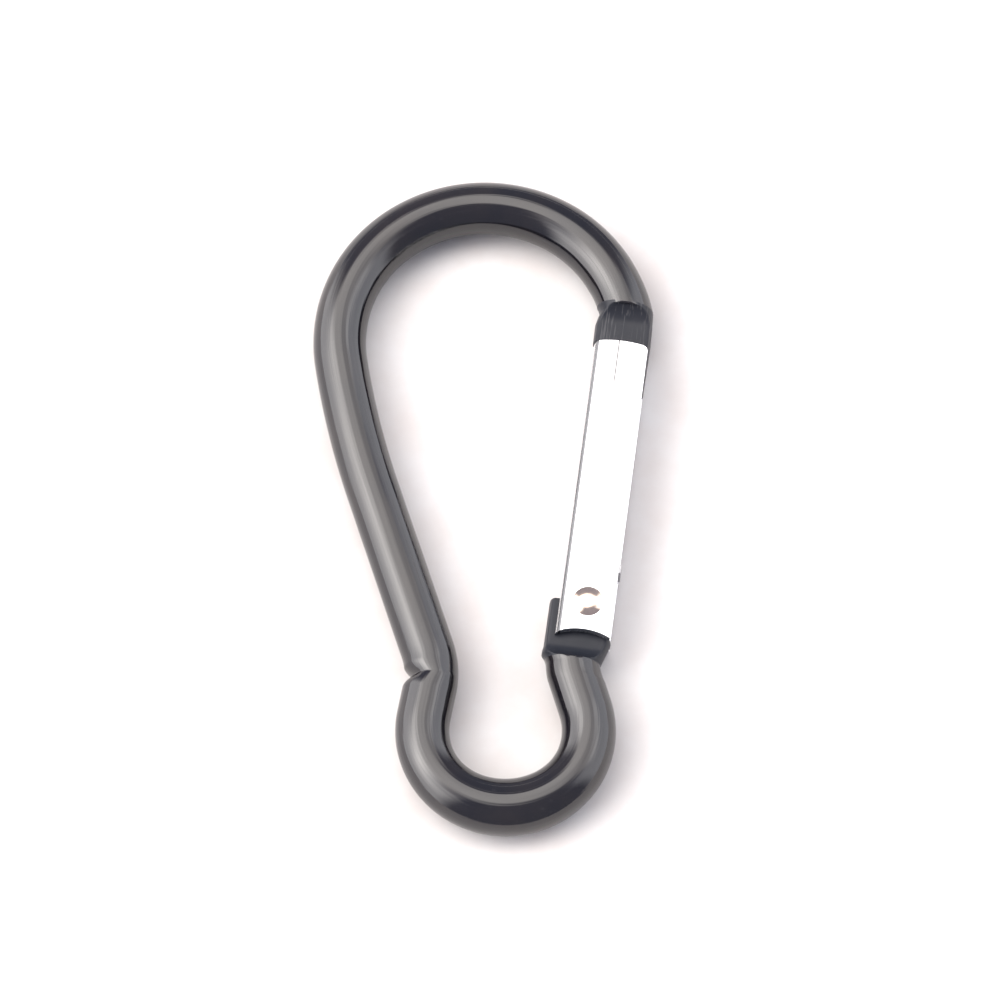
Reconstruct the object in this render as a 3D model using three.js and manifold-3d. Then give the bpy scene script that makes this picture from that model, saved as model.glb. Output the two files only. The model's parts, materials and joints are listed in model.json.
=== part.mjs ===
// Carabiner keyring: a pear-shaped snap hook bent from one round rod, with a sprung folded gate.
// Millimetres, +Z up. The hook lies flat: its plan is in XY, its small eye towards -Y, its wide
// loop towards +Y and its gate on the +X side.
import * as THREE from 'three';
import { mergeVertices } from 'three/addons/utils/BufferGeometryUtils.js';
import Module from 'manifold-3d';

const wasm = await Module();
wasm.setup();

// ---- rod ----
const ROD_R = 2.375;             // half of the rod's thickness
const ROD_SIDES = 24;
const ROD_STEPS = 84;            // stations along the bent rod

// ---- plan of the rod's centreline (radii in mm, headings in degrees from +X) ----
const EYE_R = 7.25;              // small eye
const EYE_HALF_SWEEP = 104;      // the eye's arc reaches this far round from its lowest point
const NECK_LENGTH = 2.6;         // straight between the eye and the neck bend
const NECK_R = 7.1;              // neck bend, hollow outwards
const LEG_LEAN = 15.1;           // the leg's lean where it leaves the neck
const LEG_LENGTH = 15.9;
const BOW_R = 79;                // the leg's slow bow
const BOW_END_LEAN = 5.86;
const SHOULDER_R = 13.76;
const SHOULDER_END = 64;         // the shoulder gives way to the crown at this slope
const NOSE_KNEE_R = 3.5;         // short bend that turns the nose into line with the gate
const NOSE_KNEE_START = 79.9;    // slope of the right shoulder where the knee begins

// ---- gate line: from the hinge to the nose, leaning outwards ----
const GATE_LEAN = 10.3;          // degrees from +Y
const KNEE_TO_PIVOT = 27.8;      // from the end of the nose knee down to the rivet

// ---- tongues: flats pressed on both ends of the rod ----
const TONGUE_HALF = 1.1;         // half of the tongues' thickness
const TONGUE_EDGE = 2.46;        // both tongues show this far out on the gate's open side
const NOSE_FLOOR_START = 27.93;  // where the nose flat meets its fillet, along the gate line
const NOSE_FILLET_R = 1.0;
const NOSE_TIP = 20.3;           // the nose tongue reaches this far down inside the gate
const NOSE_INNER_EDGE = -1.65;   // clear of the gate's spine
const HINGE_FLOOR_END = -3.88;
const HINGE_FILLET_R = 1.4;
const CONTACT_Y = 2.2;           // flat end of the hinge tongue, under the plunger
const CONTACT_X = -1.5;          // corner of that end, which lifts the plunger

// ---- creases pinched into the hollow sides of both neck bends ----
const CREASE_DEPTH = 0.45;
const CREASE_HALF_WIDTH = 1.36;  // half of the cutting wedge's wide end
const CREASE_OVERREACH = 0.4;    // how far the wedge's wide end stands outside the rod
const CREASE_LEFT = -9;          // direction from each neck bend's centre, in degrees
const CREASE_RIGHT = 188;

// ---- gate channel ----
const GATE_SPINE = -2.55;        // outer face of the spine, across the gate line
const GATE_EDGE = 2.3;           // open edge
const GATE_HALF = 2.05;          // half of the channel's thickness
const GATE_WALL = 0.8;
const GATE_BOTTOM = -3.2;
const GATE_TOP = 25.05;
const GATE_CROWN = 0.35;         // how far the upper end's curve is drawn up at its middle
const GATE_BOTTOM_HOLLOW = 0.55; // rise of the hollow cut across the lower end
const CORNER_R = 0.6;
const CORNER_ROUND = 80;         // degrees of each rounded upper corner
const SLOT_TOP = 2.4;            // the spine is slotted below this for the hinge tongue
const STOP_Y = 14;               // lug that the spring bears on
const STOP_THICKNESS = 0.7;
const WINDOW_LENGTH = 2.4;       // opening left in the spine where the spring's lug is folded in
const LUG_HALF = 0.95;
const LUG_REACH = 1.1;

// ---- rivet, spring and plunger ----
const RIVET_R = 0.9;
const RIVET_HEAD_R = 1.33;
const RIVET_HEAD_HEIGHT = 0.45;
const RIVET_PRESS_GAP = 0.03;    // in the gate's holes
const RIVET_RUN_GAP = 0.06;      // in the tongue's hole
const ROUND_SIDES = 28;
const SPRING_X = -0.45;          // the spring's axis, inwards of the rivet so that it closes the gate
const SPRING_COIL_R = 0.92;
const SPRING_WIRE_R = 0.17;
const WIRE_SIDES = 6;
const SPRING_TURNS = 8;
const SPRING_GAP = 0.12;         // beyond the wire, at the collar and at the lug
const COLLAR_Y = 3.35;           // underside of the plunger's collar
const COLLAR_THICKNESS = 0.85;
const COLLAR_HALF = 1.1;
const COLLAR_INNER_EDGE = -1.6;
const FOOT_R = 0.95;
const STEM_R = 0.55;
const STEM_TOP = 7.4;
const PLUNGER_REST_GAP = 0.06;
const PLUNGER_SIDES = 16;

const rad = THREE.MathUtils.degToRad;

// ---- solids ----
function solid(geometry) {
  const bare = geometry.clone();
  bare.deleteAttribute('normal');
  bare.deleteAttribute('uv');
  const merged = mergeVertices(bare, 1e-5);
  return new wasm.Manifold(new wasm.Mesh({
    numProp: 3,
    vertProperties: new Float32Array(merged.attributes.position.array),
    triVerts: new Uint32Array(merged.index.array),
  }));
}

function toGeometry(manifold) {
  const mesh = manifold.getMesh();
  const geometry = new THREE.BufferGeometry();
  geometry.setAttribute('position', new THREE.BufferAttribute(mesh.vertProperties, 3));
  geometry.setIndex(new THREE.BufferAttribute(mesh.triVerts, 1));
  return geometry;
}

function extrude(shape, depth, curveSegments = 8) {
  return new THREE.ExtrudeGeometry(shape, { depth, bevelEnabled: false, curveSegments });
}

// A plate whose outline is in XY, centred on z = 0.
function plate(shape, thickness, curveSegments) {
  return extrude(shape, thickness, curveSegments).translate(0, 0, -thickness / 2);
}

// A bar whose section is drawn in (x, z) and which runs from yLow to yHigh.
function bar(section, yLow, yHigh, curveSegments) {
  const geometry = extrude(section, yHigh - yLow, curveSegments);
  return geometry.rotateX(Math.PI / 2).translate(0, yHigh, 0);
}

function box(xLow, xHigh, yLow, yHigh, zLow, zHigh) {
  const geometry = new THREE.BoxGeometry(xHigh - xLow, yHigh - yLow, zHigh - zLow);
  return geometry.translate((xLow + xHigh) / 2, (yLow + yHigh) / 2, (zLow + zHigh) / 2);
}

function outline(points) {
  return new THREE.Shape(points.map(([x, y]) => new THREE.Vector2(x, y)));
}

// Regular prism along Z whose flats stand at the given radius.
function roundBar(apothem, zLow, zHigh, sides = ROUND_SIDES) {
  const radius = apothem / Math.cos(Math.PI / sides);
  const geometry = new THREE.CylinderGeometry(radius, radius, zHigh - zLow, sides);
  return geometry.rotateX(Math.PI / 2).translate(0, 0, (zLow + zHigh) / 2);
}

// ---- centreline ----
// Walks lines and arcs by heading, so that each piece starts where the last one ended.
class Walk {
  constructor(x, y, heading) {
    this.path = new THREE.Path();
    this.path.moveTo(x, y);
    this.at = new THREE.Vector2(x, y);
    this.heading = heading;
  }

  forward(length) {
    const angle = rad(this.heading);
    this.at.add(new THREE.Vector2(length * Math.cos(angle), length * Math.sin(angle)));
    this.path.lineTo(this.at.x, this.at.y);
    return this;
  }

  turnTo(heading, radius) {
    const side = heading > this.heading ? 1 : -1;
    const toCentre = rad(this.heading + side * 90);
    const cx = this.at.x + radius * Math.cos(toCentre);
    const cy = this.at.y + radius * Math.sin(toCentre);
    const from = rad(this.heading - side * 90);
    const to = rad(heading - side * 90);
    this.path.absarc(cx, cy, radius, from, to, side < 0);
    this.at = new THREE.Vector2(cx + radius * Math.cos(to), cy + radius * Math.sin(to));
    this.heading = heading;
    return this;
  }
}

// The left half from the eye's lowest point up to the end of the shoulder gives the crown's radius,
// which has to bring the rod back to the middle line.
function leftHalf() {
  return new Walk(0, -EYE_R, 180)
    .turnTo(180 - EYE_HALF_SWEEP, EYE_R)
    .forward(NECK_LENGTH)
    .turnTo(90 + LEG_LEAN, NECK_R);
}
const neckEnd = leftHalf().at;
const NECK_CENTRE_X = -neckEnd.x + NECK_R * Math.cos(rad(LEG_LEAN));
const NECK_CENTRE_Y = neckEnd.y - NECK_R * Math.sin(rad(LEG_LEAN));
const shoulderEnd = leftHalf()
  .forward(LEG_LENGTH)
  .turnTo(90 + BOW_END_LEAN, BOW_R)
  .turnTo(SHOULDER_END, SHOULDER_R).at;
const CROWN_R = -shoulderEnd.x / Math.sin(rad(SHOULDER_END));

// The whole rod, from the hinge end round the eye, up the left leg, over the crown to the nose.
const rodWalk = new Walk(-neckEnd.x, neckEnd.y, -90 - LEG_LEAN)
  .turnTo(-180 + EYE_HALF_SWEEP, NECK_R)
  .forward(NECK_LENGTH)
  .turnTo(-180 - EYE_HALF_SWEEP, EYE_R)
  .forward(NECK_LENGTH)
  .turnTo(-270 + LEG_LEAN, NECK_R)
  .forward(LEG_LENGTH)
  .turnTo(-270 + BOW_END_LEAN, BOW_R)
  .turnTo(-360 + SHOULDER_END, SHOULDER_R)
  .turnTo(-360 - SHOULDER_END, CROWN_R)
  .turnTo(-360 - NOSE_KNEE_START, SHOULDER_R)
  .turnTo(-450 - GATE_LEAN, NOSE_KNEE_R);
const kneeEnd = rodWalk.at.clone();
const ROD_END_Y = 25.15;         // the round rod ends here, along the gate line
rodWalk.forward(KNEE_TO_PIVOT - ROD_END_Y);

class FlatCurve extends THREE.Curve {
  constructor(path) {
    super();
    this.plan = path;
    this.arcLengthDivisions = 2000;
  }

  getPoint(t) {
    const p = this.plan.getPoint(t);
    return new THREE.Vector3(p.x, p.y, 0);
  }
}

// ---- gate line: local +Y runs from the rivet to the nose, local +X points outwards ----
const gateTurn = -rad(GATE_LEAN);
const pivot = new THREE.Vector2(
  kneeEnd.x - KNEE_TO_PIVOT * Math.sin(rad(GATE_LEAN)),
  kneeEnd.y - KNEE_TO_PIVOT * Math.cos(rad(GATE_LEAN)),
);
function onGateLine(geometry) {
  return geometry.rotateZ(gateTurn).translate(pivot.x, pivot.y, 0);
}

// Sections drawn in (y, z) and swept across X.
const acrossX = new THREE.Matrix4().makeBasis(
  new THREE.Vector3(0, 1, 0),
  new THREE.Vector3(0, 0, 1),
  new THREE.Vector3(1, 0, 0),
);

// ---- frame ----
// What is cut away above a tongue: everything over its face, up to a wall with a hollow fillet.
// The wall stands further along the gate line for wallSide = 1 and further back for -1.
function tongueCutter(floorEnd, filletR, wallSide, freeEnd) {
  const top = ROD_R + 1;
  const width = 12;
  const section = new THREE.Shape();
  section.moveTo(freeEnd, TONGUE_HALF);
  section.lineTo(floorEnd, TONGUE_HALF);
  if (wallSide > 0) {
    section.absarc(floorEnd, TONGUE_HALF + filletR, filletR, -Math.PI / 2, 0, false);
  } else {
    section.absarc(floorEnd, TONGUE_HALF + filletR, filletR, -Math.PI / 2, -Math.PI, true);
  }
  section.lineTo(floorEnd + wallSide * filletR, top);
  section.lineTo(freeEnd, top);
  return extrude(section, width, 5).translate(0, 0, -width / 2).applyMatrix4(acrossX);
}

// The same cut on the upper and on the lower face.
function cutBothFaces(body, cutter) {
  const lower = cutter.clone().rotateY(Math.PI);
  return body.subtract(solid(onGateLine(cutter))).subtract(solid(onGateLine(lower)));
}

// Wedge for the crease of one neck bend; side is +1 for the gate's side.
function creaseCutter(side) {
  const direction = rad(side > 0 ? CREASE_RIGHT : CREASE_LEFT);
  const surface = NECK_R - ROD_R;
  const fromCentre = (radius, across) => [
    side * NECK_CENTRE_X + radius * Math.cos(direction) - across * Math.sin(direction),
    NECK_CENTRE_Y + radius * Math.sin(direction) + across * Math.cos(direction),
  ];
  const wedge = outline([
    fromCentre(surface + CREASE_DEPTH, 0),
    fromCentre(surface - CREASE_OVERREACH, CREASE_HALF_WIDTH),
    fromCentre(surface - CREASE_OVERREACH, -CREASE_HALF_WIDTH),
  ]);
  return plate(wedge, 3 * ROD_R);
}

const rodSection = outline(Array.from({ length: ROD_SIDES }, (_, i) => {
  const angle = (i + 0.5) * 2 * Math.PI / ROD_SIDES;
  const radius = ROD_R / Math.cos(Math.PI / ROD_SIDES);
  return [radius * Math.cos(angle), radius * Math.sin(angle)];
}));

const hingeTongue = outline([
  [CONTACT_X, CONTACT_Y],
  [-2.6, 0.6],
  [-2.7, 0.34],
  [-3.2, 0.34],
  [-3.37, 0.17],
  [-3.4, -4.1],
  [-3.1, -4.7],
  [-2.2, -5.6],
  [1.2, -5.9],
  [1.75, -5.2],
  [TONGUE_EDGE, -2.46],
  [TONGUE_EDGE, CONTACT_Y - 0.3],
  [TONGUE_EDGE - 0.3, CONTACT_Y],
]);

const noseTongue = outline([
  [NOSE_INNER_EDGE, NOSE_TIP + 0.5],
  [NOSE_INNER_EDGE + 0.5, NOSE_TIP],
  [TONGUE_EDGE - 0.7, NOSE_TIP],
  [TONGUE_EDGE - 0.1, NOSE_TIP + 0.6],
  [TONGUE_EDGE, 26],
  [TONGUE_EDGE - 0.1, 27.6],
  [NOSE_INNER_EDGE, 27.6],
]);
// Slanting shoulder between the rod's rounded inner side and the narrower tongue.
const noseShoulder = outline([
  [NOSE_INNER_EDGE, 25.5],
  [-2.7, 25.1],
  [-2.7, 24],
  [NOSE_INNER_EDGE, 24],
]);

let frame = solid(new THREE.ExtrudeGeometry(rodSection, {
  steps: ROD_STEPS,
  extrudePath: new FlatCurve(rodWalk.path),
}));
frame = cutBothFaces(frame, tongueCutter(NOSE_FLOOR_START, NOSE_FILLET_R, 1, NOSE_TIP));
frame = cutBothFaces(frame, tongueCutter(HINGE_FLOOR_END, HINGE_FILLET_R, -1, CONTACT_Y));
frame = frame
  .subtract(solid(onGateLine(plate(noseShoulder, 4 * ROD_R))))
  .add(solid(onGateLine(plate(noseTongue, 2 * TONGUE_HALF))))
  .add(solid(onGateLine(plate(hingeTongue, 2 * TONGUE_HALF))))
  .subtract(solid(onGateLine(roundBar(RIVET_R + RIVET_RUN_GAP, -2 * ROD_R, 2 * ROD_R))))
  .subtract(solid(creaseCutter(-1)))
  .subtract(solid(creaseCutter(1)));

// ---- gate: a folded channel, trimmed in plan, in the gate line's own frame ----
const channelSection = new THREE.Shape();
const foldX = GATE_SPINE + GATE_WALL;
channelSection.moveTo(GATE_EDGE, -GATE_HALF);
channelSection.lineTo(GATE_EDGE, -GATE_HALF + GATE_WALL);
channelSection.lineTo(foldX, -GATE_HALF + GATE_WALL);
channelSection.lineTo(foldX, GATE_HALF - GATE_WALL);
channelSection.lineTo(GATE_EDGE, GATE_HALF - GATE_WALL);
channelSection.lineTo(GATE_EDGE, GATE_HALF);
channelSection.absarc(foldX, GATE_HALF - GATE_WALL, GATE_WALL, Math.PI / 2, Math.PI, false);
channelSection.absarc(foldX, -GATE_HALF + GATE_WALL, GATE_WALL, Math.PI, 1.5 * Math.PI, false);

const gatePlan = new THREE.Shape();
const cornerRound = rad(CORNER_ROUND);
const cornerY = GATE_TOP - CORNER_R;
const innerCornerX = GATE_SPINE + CORNER_R;
const hollowHalf = (GATE_EDGE - GATE_SPINE) / 2;
const hollowR = (hollowHalf ** 2 + GATE_BOTTOM_HOLLOW ** 2) / (2 * GATE_BOTTOM_HOLLOW);
const hollowX = (GATE_EDGE + GATE_SPINE) / 2;
const hollowY = GATE_BOTTOM + GATE_BOTTOM_HOLLOW - hollowR;
const hollowAngle = Math.asin(hollowHalf / hollowR);
gatePlan.moveTo(GATE_EDGE, GATE_BOTTOM);
gatePlan.absarc(GATE_EDGE - CORNER_R, cornerY, CORNER_R, 0, cornerRound, false);
gatePlan.quadraticCurveTo(
  hollowX, GATE_TOP + GATE_CROWN,
  innerCornerX - CORNER_R * Math.cos(cornerRound), cornerY + CORNER_R * Math.sin(cornerRound),
);
gatePlan.absarc(innerCornerX, cornerY, CORNER_R, Math.PI - cornerRound, Math.PI, false);
gatePlan.absarc(hollowX, hollowY, hollowR, Math.PI / 2 + hollowAngle, Math.PI / 2 - hollowAngle, true);

const slot = box(
  GATE_SPINE - 1, foldX + 0.1,
  GATE_BOTTOM - 1, SLOT_TOP,
  -GATE_HALF + GATE_WALL, GATE_HALF - GATE_WALL,
);
const lugWindow = box(
  GATE_SPINE - 1, foldX + 0.1,
  STOP_Y + STOP_THICKNESS, STOP_Y + STOP_THICKNESS + WINDOW_LENGTH,
  -LUG_HALF, LUG_HALF,
);
const lug = box(foldX - 0.3, LUG_REACH, STOP_Y, STOP_Y + STOP_THICKNESS, -LUG_HALF, LUG_HALF);
const gate = solid(plate(gatePlan, 2 * GATE_HALF, 6))
  .intersect(solid(bar(channelSection, GATE_BOTTOM - 1, GATE_TOP + 1, 5)))
  .subtract(solid(slot))
  .subtract(solid(lugWindow))
  .add(solid(lug))
  .subtract(solid(roundBar(RIVET_R + RIVET_PRESS_GAP, -2 * ROD_R, 2 * ROD_R)));

// ---- rivet: a shank between two domed heads ----
function rivetProfile() {
  const seat = GATE_HALF + RIVET_PRESS_GAP;
  const domeSteps = 5;
  const dome = Array.from({ length: domeSteps }, (_, i) => {
    const t = i / domeSteps * Math.PI / 2;
    return [RIVET_HEAD_R * Math.cos(t), seat + RIVET_HEAD_HEIGHT * Math.sin(t)];
  });
  const upper = [[RIVET_R, seat], ...dome, [0, seat + RIVET_HEAD_HEIGHT]];
  const lower = upper.map(([r, z]) => [r, -z]).reverse();
  return [...lower, ...upper].map(([r, z]) => new THREE.Vector2(r, z));
}
const rivet = solid(new THREE.LatheGeometry(rivetProfile(), ROUND_SIDES).rotateX(Math.PI / 2));

// ---- spring: an open coil between the plunger's collar and the lug ----
class Coil extends THREE.Curve {
  constructor(yLow, yHigh) {
    super();
    this.yLow = yLow;
    this.yHigh = yHigh;
  }

  getPoint(t) {
    const angle = t * SPRING_TURNS * 2 * Math.PI;
    return new THREE.Vector3(
      SPRING_X + SPRING_COIL_R * Math.cos(angle),
      this.yLow + t * (this.yHigh - this.yLow),
      SPRING_COIL_R * Math.sin(angle),
    );
  }
}
const wireSection = outline(Array.from({ length: WIRE_SIDES }, (_, i) => {
  const angle = i * 2 * Math.PI / WIRE_SIDES;
  return [SPRING_WIRE_R * Math.cos(angle), SPRING_WIRE_R * Math.sin(angle)];
}));
const springLow = COLLAR_Y + COLLAR_THICKNESS + SPRING_WIRE_R + SPRING_GAP;
const springHigh = STOP_Y - SPRING_WIRE_R - SPRING_GAP;
const spring = solid(new THREE.ExtrudeGeometry(wireSection, {
  steps: SPRING_TURNS * 14,
  extrudePath: new Coil(springLow, springHigh),
}));

// ---- plunger: a foot on the tongue, a collar that fills the channel and a stem in the spring ----
function alongY(radius, yLow, yHigh) {
  const geometry = new THREE.CylinderGeometry(radius, radius, yHigh - yLow, PLUNGER_SIDES);
  return geometry.translate(SPRING_X, (yLow + yHigh) / 2, 0);
}
const plunger = solid(box(
  COLLAR_INNER_EDGE, TONGUE_EDGE,
  COLLAR_Y, COLLAR_Y + COLLAR_THICKNESS,
  -COLLAR_HALF, COLLAR_HALF,
))
  .add(solid(alongY(FOOT_R, CONTACT_Y + PLUNGER_REST_GAP, COLLAR_Y + 0.1)))
  .add(solid(alongY(STEM_R, COLLAR_Y + 0.1, STEM_TOP)));

// ---- assembly ----
function piece(name, manifold, color, roughness, metalness) {
  const mesh = new THREE.Mesh(
    toGeometry(manifold),
    new THREE.MeshStandardMaterial({ color, roughness, metalness }),
  );
  mesh.name = name;
  return mesh;
}

const gateAssembly = new THREE.Group();
gateAssembly.position.set(pivot.x, pivot.y, 0);
gateAssembly.rotation.z = gateTurn;
gateAssembly.add(
  piece('gate', gate, 0xd9dadb, 0.22, 1),
  piece('hinge_rivet', rivet, 0xcfc8c4, 0.2, 1),
  piece('gate_spring', spring, 0xb4b6b8, 0.3, 1),
  piece('spring_plunger', plunger, 0x8f9194, 0.35, 1),
);

const part = new THREE.Group();
part.add(piece('frame', frame, 0x33333b, 0.2, 1), gateAssembly);

// The part's origin is the middle of its box in plan, on the plane it lies on.
part.updateMatrixWorld(true);
const extent = new THREE.Box3().setFromObject(part, true);
const middle = extent.getCenter(new THREE.Vector3());
part.position.set(-middle.x, -middle.y, -extent.min.z);

export default part;
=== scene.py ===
"""Carabiner keyring: the looks of a pear-shaped snap hook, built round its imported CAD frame.

Lengths are in millimetres until a mesh is made. Plan shapes are drawn in the row frame's XY, and
whatever belongs to the hinge, the gate or the nose is drawn on the gate line: local +Y runs from
the rivet to the nose, local +X points out of the loop, and z = 0 is the middle of the rod.
"""

import json
import math

import bmesh
import bpy
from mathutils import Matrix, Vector


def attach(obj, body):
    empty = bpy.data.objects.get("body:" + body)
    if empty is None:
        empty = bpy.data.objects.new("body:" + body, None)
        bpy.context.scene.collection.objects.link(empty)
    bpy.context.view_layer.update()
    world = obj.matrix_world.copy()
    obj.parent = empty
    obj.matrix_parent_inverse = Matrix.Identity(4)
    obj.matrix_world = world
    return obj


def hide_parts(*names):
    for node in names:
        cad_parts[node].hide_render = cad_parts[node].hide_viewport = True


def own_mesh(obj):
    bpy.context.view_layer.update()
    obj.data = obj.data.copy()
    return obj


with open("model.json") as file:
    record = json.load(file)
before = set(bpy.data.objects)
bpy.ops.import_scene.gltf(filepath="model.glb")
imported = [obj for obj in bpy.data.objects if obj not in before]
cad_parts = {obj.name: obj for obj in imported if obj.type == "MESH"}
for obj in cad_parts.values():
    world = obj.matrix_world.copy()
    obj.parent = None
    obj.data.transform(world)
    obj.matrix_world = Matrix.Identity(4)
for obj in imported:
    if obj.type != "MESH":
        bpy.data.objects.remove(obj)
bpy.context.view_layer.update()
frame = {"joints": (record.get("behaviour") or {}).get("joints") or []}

MM = 0.001
joints = {joint["name"]: joint for joint in frame["joints"]}

# ---- rod ----
ROD_R = 2.375
EYE_R = 7.25
EYE_HALF_SWEEP = 104
NECK_LENGTH = 2.6
NECK_R = 7.1
LEG_LEAN = 15.1
LEG_LENGTH = 15.9
BOW_R = 79
BOW_END_LEAN = 5.86
SHOULDER_R = 13.76
SHOULDER_END = 64
NOSE_KNEE_R = 3.5
NOSE_KNEE_START = 79.9
GATE_LEAN = 10.3
KNEE_TO_PIVOT = 27.8
ROD_STEP = 0.4

# ---- tongues pressed on both ends of the rod ----
TONGUE_HALF = 1.1
TONGUE_EDGE = 2.46
NOSE_FLOOR_START = 27.05
NOSE_FILLET_R = 2.0
NOSE_TIP = 20.3
NOSE_INNER_EDGE = -1.65
HINGE_FLOOR_END = -3.88
HINGE_FILLET_R = 1.4
HINGE_TOP = 2.2

# ---- gate ----
GATE_SPINE = -2.55
GATE_EDGE = 2.3
GATE_HALF = 2.05
GATE_WALL = 0.8
GATE_BOTTOM = -3.2
GATE_TOP = 25.05
GATE_CROWN = 0.35
GATE_BOTTOM_HOLLOW = 0.55
CORNER_R = 0.6
CORNER_ROUND = 80
SLOT_TOP = 2.4
STOP_Y = 14
STOP_THICKNESS = 0.7
WINDOW_LENGTH = 2.4
LUG_HALF = 0.95
LUG_REACH = 1.1

# ---- rivet, spring and plunger ----
RIVET_R = 0.9
RIVET_RUN_GAP = 0.06
RIVET_PRESS_GAP = 0.03
RIVET_HEAD_R = 1.33
RIVET_HEAD_HEIGHT = 0.45
SPRING_X = -0.45
SPRING_COIL_R = 0.92
SPRING_WIRE_R = 0.17
SPRING_TURNS = 8
SPRING_LOW = 4.49
SPRING_HIGH = 13.71
COLLAR_Y = 3.35
COLLAR_THICKNESS = 0.85
COLLAR_HALF = 1.1
COLLAR_INNER_EDGE = -1.6
FOOT_R = 0.95
FOOT_Y = 2.26
STEM_R = 0.55
STEM_TOP = 7.4


# ---- plan ----
class Walk:
    """Lines and arcs laid end to end by heading, in degrees, and read back by length."""

    def __init__(self, x, y, heading):
        self.end = Vector((x, y))
        self.heading = heading
        self.length = 0.0
        self.legs = []

    def _add(self, length, curvature):
        """One more leg, as (start length, start place, start heading, curvature)."""
        self.legs.append((self.length, self.end.copy(), math.radians(self.heading), curvature))
        self.length += length
        self.end, heading = self.at(self.length)
        self.heading = math.degrees(heading)
        return self

    def forward(self, length):
        """Straight on."""
        return self._add(length, 0.0)

    def turn_to(self, heading, radius):
        """Round an arc until the walk has the given heading."""
        turn = math.radians(heading - self.heading)
        return self._add(abs(turn) * radius, math.copysign(1 / radius, turn))

    def at(self, length):
        """Place and heading in radians; straight lines carry on past both ends of the walk."""
        inside = min(max(length, 0.0), self.length)
        start, origin, heading, curvature = [leg for leg in self.legs if leg[0] <= inside][-1]
        run = inside - start
        turned = heading + curvature * run
        if curvature:
            step = Vector((
                (math.sin(turned) - math.sin(heading)) / curvature,
                (math.cos(heading) - math.cos(turned)) / curvature,
            ))
        else:
            step = run * Vector((math.cos(heading), math.sin(heading)))
        past_end = (length - inside) * Vector((math.cos(turned), math.sin(turned)))
        return origin + step + past_end, turned


def left_half():
    """The left side from the bottom of the small eye to the end of its neck."""
    return (
        Walk(0, -EYE_R, 180)
        .turn_to(180 - EYE_HALF_SWEEP, EYE_R)
        .forward(NECK_LENGTH)
        .turn_to(90 + LEG_LEAN, NECK_R)
    )


neck_end = left_half().end
shoulder_end = (
    left_half()
    .forward(LEG_LENGTH)
    .turn_to(90 + BOW_END_LEAN, BOW_R)
    .turn_to(SHOULDER_END, SHOULDER_R)
    .end
)
CROWN_R = -shoulder_end.x / math.sin(math.radians(SHOULDER_END))
rod = (
    Walk(-neck_end.x, neck_end.y, -90 - LEG_LEAN)
    .turn_to(-180 + EYE_HALF_SWEEP, NECK_R)
    .forward(NECK_LENGTH)
    .turn_to(-180 - EYE_HALF_SWEEP, EYE_R)
    .forward(NECK_LENGTH)
    .turn_to(-270 + LEG_LEAN, NECK_R)
    .forward(LEG_LENGTH)
    .turn_to(-270 + BOW_END_LEAN, BOW_R)
    .turn_to(-360 + SHOULDER_END, SHOULDER_R)
    .turn_to(-360 - SHOULDER_END, CROWN_R)
    .turn_to(-360 - NOSE_KNEE_START, SHOULDER_R)
    .turn_to(-450 - GATE_LEAN, NOSE_KNEE_R)
)
along = Vector((math.sin(math.radians(GATE_LEAN)), math.cos(math.radians(GATE_LEAN))))
outward = Vector((along.y, -along.x))
plan_pivot = rod.end - KNEE_TO_PIVOT * along
pivot = Vector(joints["gate_swing"]["pos_m"]) / MM
to_row = pivot.xy - plan_pivot


def gate_xy(x, y):
    """A point on the gate line, in the row frame's plan."""
    return pivot.xy + x * outward + y * along


# ---- meshes ----
SMOOTH_ANGLE = 35
CIRCLE_SIDES = 64
OVERCUT = 1.0
SLIVER = 0.03
FLAT_ANGLE = 0.5
EDGE_ROUNDING = 0.06
BEVEL_ANGLE = 32
BEVEL_SEGMENTS = 2


def make_object(name, points, faces, smooth_angle=SMOOTH_ANGLE):
    """A mesh object from points in millimetres in the row frame."""
    mesh = bpy.data.meshes.new(name)
    mesh.from_pydata([Vector(p) * MM for p in points], [], faces)
    mesh.validate()
    mesh.update()
    mesh.polygons.foreach_set("use_smooth", [True] * len(mesh.polygons))
    mesh.set_sharp_from_angle(angle=math.radians(smooth_angle))
    obj = bpy.data.objects.new(name, mesh)
    bpy.context.scene.collection.objects.link(obj)
    return obj


def from_gate_line(x, y, z):
    """A point given on the gate line, moved to the row frame."""
    return (*gate_xy(x, y), pivot.z + z)


def loft(name, rings, smooth_angle=SMOOTH_ANGLE):
    """Closed skin through rings of equal count, with a flat cap at each end."""
    count = len(rings[0])
    points = [p for row in rings for p in row]
    faces = []
    for i in range(len(rings) - 1):
        for j in range(count):
            k = (j + 1) % count
            faces.append((i * count + j, i * count + k, (i + 1) * count + k, (i + 1) * count + j))
    faces.append(tuple(reversed(range(count))))
    faces.append(tuple((len(rings) - 1) * count + j for j in range(count)))
    return make_object(name, points, faces, smooth_angle)


def plate(name, outline, low, high):
    """Outline on the gate line, raised in z."""
    return loft(name, [[from_gate_line(x, y, z) for x, y in outline] for z in (low, high)])


def bar(name, section, low, high):
    """Section in (x, z), run along the gate line."""
    return loft(name, [[from_gate_line(x, y, z) for x, z in section] for y in (low, high)])


def block(name, x_low, x_high, y_low, y_high, z_half):
    """Box on the gate line, as far above the rod's middle as below it."""
    outline = [(x_low, y_low), (x_high, y_low), (x_high, y_high), (x_low, y_high)]
    return plate(name, outline, -z_half, z_half)


def circle(radius, sides=CIRCLE_SIDES):
    """Points round a circle about the middle."""
    turns = [2 * math.pi * i / sides for i in range(sides)]
    return [(radius * math.cos(t), radius * math.sin(t)) for t in turns]


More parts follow.
